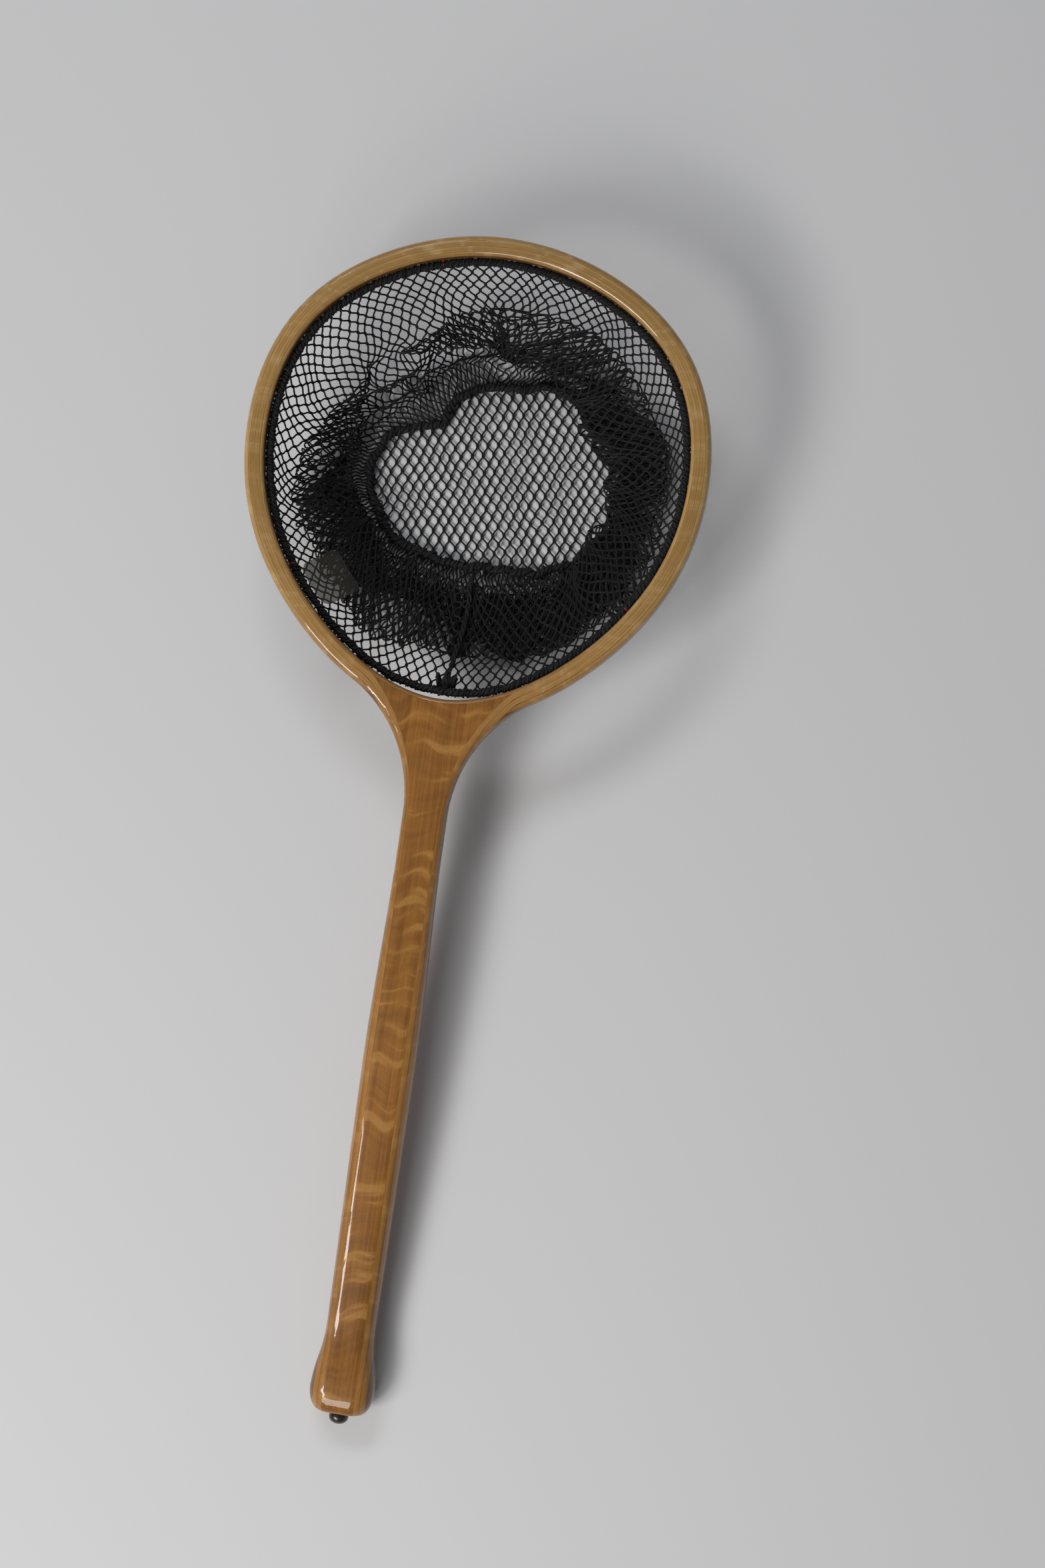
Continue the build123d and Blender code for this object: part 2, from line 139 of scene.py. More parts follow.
def new_material(name, **shader_values):
    """A material with a Principled shader, whose sockets are set by name."""
    material = bpy.data.materials.new(name)
    material.use_nodes = True
    shader = material.node_tree.nodes["Principled BSDF"]
    for socket, value in shader_values.items():
        shader.inputs[socket.replace("_", " ")].default_value = value
    return material, shader


def add_node(material, kind, inputs=None, **settings):
    """Adds a node; inputs are values or other sockets, keyed by name or number."""
    node = material.node_tree.nodes.new(kind)
    for key, value in settings.items():
        setattr(node, key, value)
    for key, value in (inputs or {}).items():
        if isinstance(value, bpy.types.NodeSocket):
            material.node_tree.links.new(value, node.inputs[key])
        else:
            node.inputs[key].default_value = value
    return node


def link(material, source, target):
    """Joins a node's output to a socket."""
    material.node_tree.links.new(source, target)


def stretched(material, vector, stretch):
    """The vector with each axis scaled, so that a round noise becomes streaks."""
    return add_node(material, "ShaderNodeVectorMath", {0: vector, 1: stretch},
                    operation="MULTIPLY").outputs[0]


def cloud(material, vector, scale=1.0, detail=2.0, rough=0.5):
    """A soft noise from 0 to 1."""
    return add_node(material, "ShaderNodeTexNoise",
                    {"Vector": vector, "Scale": scale, "Detail": detail, "Roughness": rough}
                    ).outputs["Fac"]


def between(material, value, low, high, to_low=0.0, to_high=1.0):
    """Rescales a value from one range to another, without going past the ends."""
    return add_node(material, "ShaderNodeMapRange",
                    {"Value": value, "From Min": low, "From Max": high,
                     "To Min": to_low, "To Max": to_high},
                    interpolation_type="SMOOTHSTEP").outputs["Result"]


def mixed(material, factor, first, second, blend="MIX"):
    """Two colours mixed by a factor."""
    return add_node(material, "ShaderNodeMix", {"Factor": factor, 6: first, 7: second},
                    data_type="RGBA", blend_type=blend).outputs[2]


def grey(material, value):
    """A grey of that value, for darkening or lightening another colour."""
    return add_node(material, "ShaderNodeCombineColor", {0: value, 1: value, 2: value}).outputs[0]


def maths(material, operation, first, second=0.0):
    """One sum of two numbers or sockets."""
    return add_node(material, "ShaderNodeMath", {0: first, 1: second},
                    operation=operation).outputs[0]


def object_place(material):
    """A point's place on its piece, in metres."""
    return add_node(material, "ShaderNodeTexCoord").outputs["Object"]


print("material helpers ready")

# %% [markdown]
# ## Varnished wood
# The strips and the core are maple under clear gloss varnish. The fibre of a bent strip
# follows the strip, so a pattern in room coordinates would run across it at the sides of the
# hoop. Each wooden piece therefore carries an attribute called grain: how far a point lies
# along its own strip, how far out from the strip's inside face, and how high. Fine fibre, soft
# growth lines and pores are noises stretched along the first number. The second number also
# places the thin dark glue line at each face of a strip. The curly figure of the core runs the
# other way, in bands across the grain, so its noise is squeezed along the first number
# and its place is swayed by a slower noise. The pale shimmer of the bands is a painted
# highlight. The strips' colours are painted paler, in part for the light on the hoop. On
# the handle a tint darkens them again: painted shade that takes that light back out.

# %% Wood material


GLUE_LINE = 0.00022           # how far the dark glue reaches into a strip
GLUE_BROWN = (0.05, 0.018, 0.004, 1)
# darkens the strips on the handle: painted shade against the painted light in the strips' paler
# colour
HANDLE_SHADE_TINT = (0.85, 0.645, 0.43, 1)
CURL_SWAY = 0.035             # how far the curly bands wander along the wood


def wood(name, pale, deep, figure, strip_width=0.0, handle_shade=1.0):
    """Varnished maple; figure is how strongly the curly bands show."""
    material, shader = new_material(name, Roughness=0.42, Coat_Weight=0.9,
                                    Coat_Roughness=0.04, Coat_IOR=1.5,
                                    Specular_IOR_Level=0.2)
    grain = add_node(material, "ShaderNodeAttribute", attribute_name="grain").outputs["Vector"]
    lines = cloud(material, stretched(material, grain, (6, 420, 160)), detail=3.0)
    fibre = cloud(material, stretched(material, grain, (45, 2600, 2600)), detail=2.0)
    patch = cloud(material, stretched(material, grain, (9, 30, 30)), detail=1.0)
    pores = cloud(material, stretched(material, grain, (260, 4200, 4200)), detail=1.0)
    drift = add_node(material, "ShaderNodeTexNoise",
                     {"Vector": stretched(material, grain, (12, 40, 40)), "Scale": 1.0,
                      "Detail": 1.0}).outputs["Color"]
    bent = add_node(material, "ShaderNodeVectorMath",
                    {0: drift, 1: (CURL_SWAY, 0.0, 0.0), 2: grain},
                    operation="MULTIPLY_ADD").outputs[0]
    curl = cloud(material, stretched(material, bent, (120, 24, 24)), detail=2.5, rough=0.55)
    # fine noise that breaks up the painted highlight of the curly bands
    highlight_speckle = cloud(material, stretched(material, grain, (900, 1500, 1500)), detail=1.0)

    tone = between(material, lines, 0.28, 0.74)
    colour = mixed(material, tone, (*pale, 1), (*deep, 1))
    fibre_tone = between(material, fibre, 0.3, 0.7, 0.86, 1.1)
    colour = mixed(material, 1.0, colour, grey(material, fibre_tone), "MULTIPLY")
    patch_tone = between(material, patch, 0.3, 0.7, 0.9, 1.08)
    band_tone = between(material, curl, 0.30, 0.52, 1 - 0.6 * figure, 1.0)
    both = maths(material, "MULTIPLY", patch_tone, band_tone)
    colour = mixed(material, 1.0, colour, grey(material, both), "MULTIPLY")

    # the curly figure is in the wood; the pale shimmer of its bands is a painted highlight,
    # broken up by a fine speckle
    flame_highlight = between(material, curl, 0.51, 0.66, 0.0, 2.2 * figure)
    flame_highlight = maths(material, "MULTIPLY", flame_highlight, between(material, highlight_speckle, 0.3, 0.7, 0.75, 1.15))
    # the colour of the painted highlight in the pale bands
    glow = (1.45 * pale[0], 1.75 * pale[1], 2.9 * pale[2], 1)
    colour = mixed(material, flame_highlight, colour, glow)
    pore = between(material, pores, 0.68, 0.74, 0.0, 0.45)
    colour = mixed(material, pore, colour, (deep[0] * 0.4, deep[1] * 0.35, deep[2] * 0.3, 1))
    if strip_width:
        out = add_node(material, "ShaderNodeSeparateXYZ", {0: grain}).outputs[1]
        middle = maths(material, "ABSOLUTE", maths(material, "SUBTRACT", out, strip_width / 2))
        glue = between(material, middle, strip_width / 2 - GLUE_LINE, strip_width / 2, 0, 0.6)
        colour = mixed(material, glue, colour, GLUE_BROWN)

    # the strips' paler colour holds painted light for the hoop; on the handle a tint takes it
    # back out, as painted shade
    along = add_node(material, "ShaderNodeSeparateXYZ", {0: object_place(material)}).outputs[1]
    held = between(material, along, 0.02, 0.16, handle_shade, 0.0)
    colour = mixed(material, held, colour, HANDLE_SHADE_TINT, "MULTIPLY")
    link(material, colour, shader.inputs["Base Color"])
    height = maths(material, "ADD", fibre, maths(material, "MULTIPLY", curl, 3.0))
    bump = add_node(material, "ShaderNodeBump",
                    {"Strength": 0.25, "Distance": 0.00012, "Height": height})
    link(material, bump.outputs[0], shader.inputs["Normal"])
    return material


INNER_STRIP, OUTER_STRIP = 0.002, 0.0032
core_wood = wood("figured_core", (0.275, 0.112, 0.015), (0.200, 0.072, 0.006), 0.32,
                 handle_shade=0.0)
# the strip colours below are paler in part for the light that falls on the hoop, which is painted
# in
strip_wood = wood("outer_strip_maple", (0.420, 0.255, 0.086), (0.310, 0.168, 0.044), 0.11,
                  OUTER_STRIP)
lining_wood = wood("throat_lining_maple", (0.420, 0.245, 0.078), (0.310, 0.160, 0.040), 0.10,
                   INNER_STRIP)
print("wood materials", core_wood.name, strip_wood.name, lining_wood.name)

# %% [markdown]
# ## Grain that follows each strip
# A CAD node's mesh must stay as it is, so each wooden node gets a merged copy that stands for
# it. The copy's points look up the nearest place on their strip's middle line. On the handle
# the outer strips run straight, then bend away in an arc and join the hoop.

# %% The middle lines of the strips
CORE_HALF_WIDTH, FLARE_RADIUS, FLARE_START = 0.009, 0.110, 0.340


def hoop_line(out):
    """Points round the right half of the hoop, from the throat to the tip."""
    return np.array([hoop_point(turn, out) for turn in np.linspace(-90.0, 90.0, 240)])


def side_line(out):
    """Butt, straight handle, flare and hoop for a strip that lies out from the core."""
    centre_x, radius = CORE_HALF_WIDTH + FLARE_RADIUS, FLARE_RADIUS - out
    sweep = np.radians(np.linspace(0.0, 62.0, 125))
    flare = np.stack([centre_x - radius * np.cos(sweep),
                      FLARE_START + radius * np.sin(sweep)], 1)
    ring = hoop_line(INNER_STRIP + out)
    gaps = np.linalg.norm(flare[:, None] - ring[None], axis=2)
    leave, join = np.unravel_index(gaps.argmin(), gaps.shape)
    straight = np.stack([np.full(60, flare[0, 0]), np.linspace(-0.01, FLARE_START, 60)], 1)
    return np.vstack([straight[:-1], flare[:leave], ring[join:]])


print("third strip length", round(float(walked(side_line(1.5 * OUTER_STRIP))[-1]) * 2, 3), "m")

# %% Merged wooden copies with the grain attribute


def plane_places(points):
    """Places in the net's plane of points in the room: across, along and up."""
    local = points - np.array(BUTT)
    along = local[:, 1] * math.cos(TILT) + local[:, 2] * math.sin(TILT)
    up = -local[:, 1] * math.sin(TILT) + local[:, 2] * math.cos(TILT)
    return np.stack([local[:, 0], along, up], 1)


def nearest_on_line(places, line):
    """Distance along the line to the nearest place, and how far out from it."""
    start, step = line[:-1], np.diff(line, axis=0)
    length = np.linalg.norm(step, axis=1)
    best = np.full(len(places), 1e9)
    along, out = np.zeros(len(places)), np.zeros(len(places))
    for begin, way, size, walk in zip(start, step, length, walked(line)):
        share = np.clip(((places - begin) @ way) / size ** 2, 0, 1)
        off = places - (begin + share[:, None] * way)
        gap = np.linalg.norm(off, axis=1)
        closer = gap < best
        side = (off @ np.array([way[1], -way[0]])) / size
        best[closer] = gap[closer]
        along[closer] = (walk + share * size)[closer]
        out[closer] = side[closer]
    return along, out


MERGE_WITHIN = 2e-6
SHARP_ANGLE = math.radians(34)


def wooden_copy(node, name, material, line=None, half_width=0.0):
    """A merged, smooth-shaded copy of a CAD node, with grain along its strip."""
    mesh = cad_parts[node].data.copy()
    mesh.name = name
    if mesh.has_custom_normals:
        mesh.attributes.remove(mesh.attributes["custom_normal"])
    shape = bmesh.new()
    shape.from_mesh(mesh)
    bmesh.ops.remove_doubles(shape, verts=shape.verts, dist=MERGE_WITHIN)
    for face in shape.faces:
        face.smooth = True
    for edge in shape.edges:
        edge.smooth = len(edge.link_faces) == 2 and edge.calc_face_angle(0.0) < SHARP_ANGLE
    shape.to_mesh(mesh)
    shape.free()
    points = np.empty(len(mesh.vertices) * 3)
    mesh.vertices.foreach_get("co", points)
    places = plane_places(points.reshape(-1, 3))
    if line is None:
        grain = places[:, [1, 0, 2]]
    else:
        folded = np.stack([np.abs(places[:, 0]), places[:, 1]], 1)
        along, out = nearest_on_line(folded, line)
        grain = np.stack([along, out + half_width, places[:, 2]], 1)
    attribute = mesh.attributes.new("grain", "FLOAT_VECTOR", "POINT")
    attribute.data.foreach_set("vector", grain.astype(np.float32).ravel())
    mesh.materials.clear()
    mesh.materials.append(material)
    piece = bpy.data.objects.new(name, mesh)
    scene.collection.objects.link(piece)
    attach(piece, "root")
    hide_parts(node)
    print(name, len(mesh.polygons), "faces")
    return piece


wooden_copy("handle_core", "wood_handle_core", core_wood)
wooden_copy("hoop_inner_ply", "wood_inner_strip", lining_wood,
            hoop_line(INNER_STRIP / 2), INNER_STRIP / 2)
wooden_copy("hoop_second_ply", "wood_second_strip", strip_wood,
            side_line(0.5 * OUTER_STRIP), OUTER_STRIP / 2)
wooden_copy("hoop_third_ply", "wood_third_strip", strip_wood,
            side_line(1.5 * OUTER_STRIP), OUTER_STRIP / 2)
wooden_copy("hoop_outer_ply", "wood_outer_strip", strip_wood,
            hoop_line(INNER_STRIP + 2.5 * OUTER_STRIP), OUTER_STRIP / 2)

# %% [markdown]
# ## Tubes from lines
# Threads, ropes and net strands are all thin round tubes. A curve with a bevel is Blender's
# own tool for that: many lines go in one curve as straight-run splines, and the curve is
# then turned into a mesh piece.

# %% A helper that lays tubes along lines


def tubes(name, lines, radius, material, closed=False, sides=1):
    """One mesh piece made of a round tube along each line of points."""
    curve = bpy.data.curves.new(name, "CURVE")
    curve.dimensions = "3D"
    curve.bevel_depth = radius
    curve.bevel_resolution = sides
    curve.use_fill_caps = True
    for line in lines:
        spline = curve.splines.new("POLY")
        spline.points.add(len(line) - 1)
        packed = np.ones((len(line), 4))
        packed[:, :3] = line
        spline.points.foreach_set("co", packed.ravel())
        spline.use_cyclic_u = closed
    holder = bpy.data.objects.new(name + "_line", curve)
    mesh = bpy.data.meshes.new_from_object(holder)
    bpy.data.objects.remove(holder)
    bpy.data.curves.remove(curve)
    mesh.name = name
    for polygon in mesh.polygons:
        polygon.use_smooth = True
    mesh.materials.clear()
    mesh.materials.append(material)
    piece = bpy.data.objects.new(name, mesh)
    scene.collection.objects.link(piece)
    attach(piece, "root")
    triangles = sum(len(p.vertices) - 2 for p in mesh.polygons)
    print(name, triangles, "triangles")
    return piece


# %% Thread and netting materials


def fibre_material(name, colour, tint, scale, rough, bump_size):
    """Matt twisted fibre: fine noise in the colour and in the bump."""
    material, shader = new_material(name, Roughness=rough, Specular_IOR_Level=0.2,
                                    Sheen_Weight=0.04, Sheen_Roughness=0.5)
    grit = cloud(material, object_place(material), scale=scale, detail=3.0)
    link(material, mixed(material, grit, (*colour, 1), (*tint, 1)), shader.inputs["Base Color"])
    bump = add_node(material, "ShaderNodeBump",
                    {"Strength": 0.6, "Distance": bump_size, "Height": grit})
    link(material, bump.outputs[0], shader.inputs["Normal"])
    return material


net_fibre = fibre_material("black_net_fibre", (0.003, 0.003, 0.0034), (0.013, 0.013, 0.0145),
                           2200.0, 0.55, 0.0002)
rim_fibre = fibre_material("black_rim_fibre", (0.003, 0.003, 0.0035), (0.018, 0.018, 0.02),
                           1400.0, 0.65, 0.0003)
red_thread = fibre_material("red_lacing", (0.32, 0.008, 0.008), (0.55, 0.03, 0.02),
                            1800.0, 0.5, 0.00015)
print("fibre materials", net_fibre.name, rim_fibre.name, red_thread.name)

# %% [markdown]
# ## The shape of the bag at rest
# The bag hangs from the rim, reaches the table and has more depth than the height of the
# hoop, so its wall folds over itself round the flat bottom panel. Seen from the side, one
# line down the wall drops a little way from the rim, runs in over the pile to an inner fold,
# goes back out under itself to an outer fold, and does that once more before it reaches the
# seam of the panel. Each layer leans the other way round the bag, so the strands of two layers
# cross. On one side the wall lies open in a few loose waves instead. How far each fold reaches
# changes round the rim. Cloth simulation then lets the folds settle.

# %% Facts about the bag
RIM_OUT, RIM_DROP = -0.0022, -0.0010
PANEL_CENTRE = Vector((0.0, 0.2135, 0.0))
PANEL_RADIUS = 0.064
STRANDS = 216                 # strands round the rim, always even
WALL_ROWS = 64
WALL_OUT = RIM_OUT - 0.0006   # where the netting leaves the rope
LOWEST = 0.0016               # lowest middle of a strand on the table
turn_marks = np.linspace(-90.0, 270.0, 3601)
rim_marks = np.array([net_point(*hoop_point(turn, RIM_OUT), RIM_DROP) for turn in turn_marks])
rim_walk = walked(rim_marks)
RIM_LENGTH = float(rim_walk[-1])


def rim_turn(share):
    """The turn at a share of the way round the rim, from the throat anticlockwise."""
    return float(np.interp((share % 1.0) * RIM_LENGTH, rim_walk, turn_marks))


def wander(share, seed, speed=1.0):
    """A smooth value from about -1 to 1 that changes round the rim and joins up."""
    angle = 2 * math.pi * share
    return noise.noise(Vector((speed * math.cos(angle), speed * math.sin(angle), seed))) * 2.0


def bump_at(turn, centre, width):
    """1 at a turn, falling smoothly to 0 away from it."""
    off = (turn - centre + 180.0) % 360.0 - 180.0
    return math.exp(-(off / width) ** 2)


print("rim length", round(RIM_LENGTH, 3), "m")

# %% Folding the wall


def panel_edge(turn, grow=0.0):
    """The seam of the bottom panel: wider than it is long, with a notch pulled into one side."""
    angle = math.radians(turn)
    radius = PANEL_RADIUS * (1 + 0.17 * math.cos(2 * (angle - 0.09))) + grow
    radius += 0.006 * math.cos(angle) + 0.004 * math.sin(angle)
    radius -= 0.016 * bump_at(turn, 140, 17) + 0.008 * bump_at(turn, 33, 12)
    radius += 0.0022 * wander(turn / 360.0, 7.3, 3.0)
    radius += 0.0018 * wander(turn / 360.0, 9.1, 8.0)
    return PANEL_CENTRE + Vector((radius * math.cos(angle), radius * math.sin(angle), 0.0))


def open_band(turn, share):
    """How far in from the rim the single, clear layer of netting reaches."""
    band = 0.013 + 0.021 * bump_at(turn, -92, 40) + 0.005 * bump_at(turn, 15, 45)
    band -= 0.007 * bump_at(turn, 82, 26) + 0.006 * bump_at(turn, 186, 28)
    return band + 0.002 * wander(share, 0.5, 2.6) + 0.0015 * wander(share, 4.0, 9.0)


FOLD_PULL = 0.004             # how far smoothing draws a fold in
SEAM_HEIGHT = 0.0024


def wall_line(share):
    """Points down one line of the wall, from the rim to the seam.

    Each point is a share of the way in, a height, and degrees of lean round the bag.
    """
    turn = rim_turn(share)
    top = net_point(*hoop_point(turn, WALL_OUT), RIM_DROP - 0.0015)
    reach = (panel_edge(turn) - top).to_2d().length
    outer = min(max((open_band(turn, share) - FOLD_PULL) / reach, 0.08), 0.75)
    crest = top.z * (0.60 + 0.06 * wander(share, 8.0, 4.0))
    calm = bump_at(turn, 136, 29)
    fifth = min(1.0, bump_at(turn, -60, 62) + bump_at(turn, 25, 30) + bump_at(turn, 200, 22))
    inner = 0.97 + 0.05 * wander(share, 3.0, 3.0) + 0.02 * wander(share, 5.0, 6.0)
    inner -= 0.38 * bump_at(turn, 92, 20)
    inner += 0.020 / reach * bump_at(turn, 4, 34)
    second = 0.05 * wander(share, 21.0, 4.0)
    third = 0.07 * wander(share, 24.0, 4.0) + 0.02 * wander(share, 25.0, 8.0)
    turned = inner - 0.07 + third + (outer + 0.45 - inner) * (1 - fifth)
    back = outer + second * 1.4 + 0.55 * (1 - fifth)
    pile = 0.019 + 0.004 * wander(share, 6.0, 4.5)
    lean = 7.0 * wander(share, 33.0, 2.2) + (5.0 if turn < 90 else -5.0)
    folded = [(0.0, top.z, 0.0), (0.5 * outer, (top.z + crest) / 2, 0.0),
              (outer, crest, 0.0), (inner, pile, lean),
              (inner - 0.02, pile * 0.80, lean),
              (outer + 0.02 + second, crest * 0.85, -lean),
              (outer + second, crest * 0.66, -lean),
              (turned, pile * 0.60, lean * 0.8), (turned - 0.01, pile * 0.45, lean * 0.8),
              (back, 0.004 + crest * 0.42 * fifth, -lean * 0.5),
              (back, 0.003 + crest * 0.12 * fifth, -lean * 0.5), (1.0, SEAM_HEIGHT, 0.0)]
    loose = [(0.0, top.z, 0.0), (0.5 * outer, (top.z + crest) / 2, 0.0),
             (outer, crest, 0.0), (outer + 0.17, crest * 0.75, 0.0),
             (outer + 0.18, 0.012, 0.0), (outer + 0.30, 0.024, 2.0),
             (outer + 0.42, 0.036, 2.0), (outer + 0.43, 0.004, 2.0),
             (outer + 0.50, 0.008, 1.0), (outer + 0.62, 0.022, 0.0),
             (outer + 0.64, 0.003, 0.0), (1.0, SEAM_HEIGHT, 0.0)]
    points = []
    for row_folded, row_loose in zip(folded, loose):
        inwards, height, swing = [f + (l - f) * calm for f, l in zip(row_folded, row_loose)]
        start = net_point(*hoop_point(turn + swing, WALL_OUT))
        foot = panel_edge(turn + swing, 0.002)
        points.append((start.x + (foot.x - start.x) * inwards,
                       start.y + (foot.y - start.y) * inwards, height))
    return np.array(points)


SMOOTHINGS = 14


def softly_folded(line, count):
    """The line with its corners rounded and evenly spaced points, and its length."""
    fine = respaced(line, 180)
    for _ in range(SMOOTHINGS):
        fine[1:-1] = 0.25 * fine[:-2] + 0.5 * fine[1:-1] + 0.25 * fine[2:]
    return respaced(fine, count), walked(fine)[-1]


wall = np.zeros((WALL_ROWS + 1, STRANDS, 3))
wall_depth = np.zeros(STRANDS)
for column in range(STRANDS):
    wall[:, column], wall_depth[column] = softly_folded(wall_line(column / STRANDS),
                                                        WALL_ROWS + 1)
# the netting has more width than the room near the panel, so its layers also wave a little
for column in range(STRANDS):
    share = column / STRANDS
    run = wall[-1, column] - wall[0, column]
    sideways = np.array([-run[1], run[0], 0.0]) / np.linalg.norm(run[:2])
    for row in range(WALL_ROWS + 1):
        down = row / WALL_ROWS
        loose = math.sin(math.pi * down) ** 1.2
        wall[row, column] += sideways * 0.0035 * wander(share, 50.0 + down * 4.0, 6.0) * loose
        ruffle = wander(share, 11.0 + down * 3.0, 9.0)
        wall[row, column, 2] += abs(ruffle) * 0.004 * loose
        wall[row, column] += run * 0.02 * wander(share, 70.0 + down * 5.0, 8.0) * loose
wall[:, :, 2] = np.maximum(wall[:, :, 2], LOWEST)
print("wall depth", wall_depth.min().round(3), "to", wall_depth.max().round(3), "m")

# %% [markdown]
# ## Letting the wall settle
# The wall is a grid of cloth, held along the rim and along the seam of the panel. A table
# plane stops it. The netting is light and stiff for its weight, so gravity is turned down and a
# few frames are enough for the folds to sag and lose their evenness. The positions are read
# back, and the cloth and the table plane are removed.

# %% Cloth settings and the table plane
SETTLE_FRAMES = 16
SETTLED_LOWEST = 0.0009


def table_stop():
    """A plane at table height that cloth can't fall through."""
    shape = bmesh.new()
    bmesh.ops.create_grid(shape, x_segments=1, y_segments=1, size=0.4)
    bmesh.ops.translate(shape, verts=shape.verts, vec=(0, 0.2, -0.0004))
    table = from_shape("table_stop", shape)
    table.modifiers.new("stop", "COLLISION")
    table.collision.thickness_outer = 0.001
    table.collision.cloth_friction = 20.0
    return table


print("settle frames", SETTLE_FRAMES)

# %% Cloth simulation of the wall


def settled(grid):
    """The grid of points after it has fallen as cloth."""
    rows, columns = grid.shape[:2]
    shape = bmesh.new()
    order = shape.verts.layers.int.new("place")
    bmesh.ops.create_grid(shape, x_segments=columns, y_segments=rows - 1, size=1.0)
    shape.verts.ensure_lookup_table()
    by_place = {}
    for index, vert in enumerate(shape.verts):
        row, column = divmod(index, columns + 1)
        vert[order] = row * columns + column % columns
        vert.co = grid[row, column % columns]
        by_place[(row, column)] = vert
    bmesh.ops.weld_verts(shape, targetmap={by_place[(row, columns)]: by_place[(row, 0)]
                                           for row in range(rows)})
    shape.verts.ensure_lookup_table()
    places = np.array([vert[order] for vert in shape.verts])
    cloth = from_shape("wall_cloth", shape)
    held = cloth.vertex_groups.new(name="held")
    row_of = places // columns
    held.add([int(i) for i in np.flatnonzero((row_of == 0) | (row_of == rows - 1))], 1.0, "ADD")

    table = table_stop()
    modifier = cloth.modifiers.new("cloth", "CLOTH")
    settings = modifier.settings
    settings.quality = 6
    settings.mass = 0.02
    settings.tension_stiffness = settings.compression_stiffness = 4.0
    settings.shear_stiffness = 1.0
    settings.bending_stiffness = 0.02
    settings.tension_damping = settings.compression_damping = 5.0
    settings.air_damping = 3.0
    settings.vertex_group_mass = "held"
    settings.pin_stiffness = 1.0
    settings.effector_weights.gravity = 0.3
    modifier.collision_settings.distance_min = 0.001
    modifier.collision_settings.use_self_collision = False
    modifier.point_cache.frame_start, modifier.point_cache.frame_end = 1, SETTLE_FRAMES
    scene.frame_start, scene.frame_end = 1, SETTLE_FRAMES
    for step in range(1, SETTLE_FRAMES + 1):
        scene.frame_set(step)
    graph = bpy.context.evaluated_depsgraph_get()
    fallen = cloth.evaluated_get(graph).to_mesh()
    points = np.empty(len(fallen.vertices) * 3)
    fallen.vertices.foreach_get("co", points)
    result = grid.copy().reshape(-1, 3)
    result[places] = points.reshape(-1, 3)
    scene.frame_set(1)
    for extra in (cloth, table):
        bpy.data.objects.remove(extra)
    return result.reshape(grid.shape)


wall = settled(wall)
wall[:, :, 2] = np.maximum(wall[:, :, 2], SETTLED_LOWEST)
print("wall height", wall[:, :, 2].min().round(4), "to", wall[:, :, 2].max().round(4), "m")

# %% [markdown]
# ## Knotless netting
# The net is not woven cloth but a web of twined strands. Each strand zigzags down the bag:
# it lies beside its right-hand neighbour for one side of a mesh, crosses over, and lies
# beside its left-hand neighbour for the next. So four sides of a mesh are single and two are
# double, and the holes come out as rounded hexagons. Every strand is one tube.

# %% Strands on the wall
MESH_STEP = 0.0060            # half the length of one zigzag, where the net isn't gathered
STRAND_RADIUS = 0.00054
DOUBLE_GAP = 0.00043          # how far a strand keeps from the middle of a double side
TIGHTEST_PACKING = 0.66
# along half a zigzag: where a point lies, and how far over to its side
STRAND_SHAPE = ((0.03, 0.90), (0.15, 1.0), (0.45, 1.0), (0.57, 0.90), (0.80, 0.0))
# where the net is gathered the meshes also pack closer down the wall, so every strand counts
# its zigzags by one shared measure, which keeps neighbours in step
gap = np.linalg.norm(np.roll(wall, -1, axis=1) - wall, axis=2)
gap = np.mean([np.roll(gap, shift, axis=1) for shift in range(-10, 11)], axis=0)
drop = np.linalg.norm(np.diff(wall, axis=0), axis=2)
drop = np.mean([np.roll(drop, shift, axis=1) for shift in range(-4, 5)], axis=0)
packing = np.clip((gap[1:] + gap[:-1]) / (2 * RIM_LENGTH / STRANDS), TIGHTEST_PACKING, 1.0)
zigzags = np.vstack([np.zeros(STRANDS), np.cumsum(drop / (packing * MESH_STEP), axis=0)])
row_shares = np.linspace(0.0, 1.0, WALL_ROWS + 1)
print("meshes down the wall", round(float(zigzags[-1].min())), "to",
      round(float(zigzags[-1].max())))


def on_wall(share, depth_share):
    """A place on the settled wall, between the points of its grid."""
    across = (share * STRANDS) % STRANDS
    left = int(across)
    right, part = (left + 1) % STRANDS, across - left
    down = depth_share * WALL_ROWS
    upper = min(int(down), WALL_ROWS - 1)
    low = down - upper
    top = wall[upper, left] * (1 - part) + wall[upper, right] * part
    bottom = wall[upper + 1, left] * (1 - part) + wall[upper + 1, right] * part
    return top * (1 - low) + bottom * low


def beside(own, shared, lean):
    """A point near the middle of a double side, which a strand shares with its neighbour."""
    across = shared - own
    width = float(np.linalg.norm(across))
    return own + across * lean * max(1 - DOUBLE_GAP / max(width, 1e-6), 0.3)


def wall_strand(number):
    """The zigzag line of one strand, from the rim to the seam."""
    count = zigzags[:, number]
    line, step = [], 0
    while step < count[-1]:
        side = 1 if (step + number) % 2 == 0 else -1
        for part, lean in STRAND_SHAPE:
            if step + part > count[-1]:
                break
            place = float(np.interp(step + part, count, row_shares))
            line.append(beside(on_wall(number / STRANDS, place),
                               on_wall((number + side / 2) / STRANDS, place), lean))
        step += 1
    line.append(on_wall(number / STRANDS, 1.0))
    line = np.array(line)
    line[:, 2] = np.maximum(line[:, 2], STRAND_RADIUS + 0.0001)
    return line


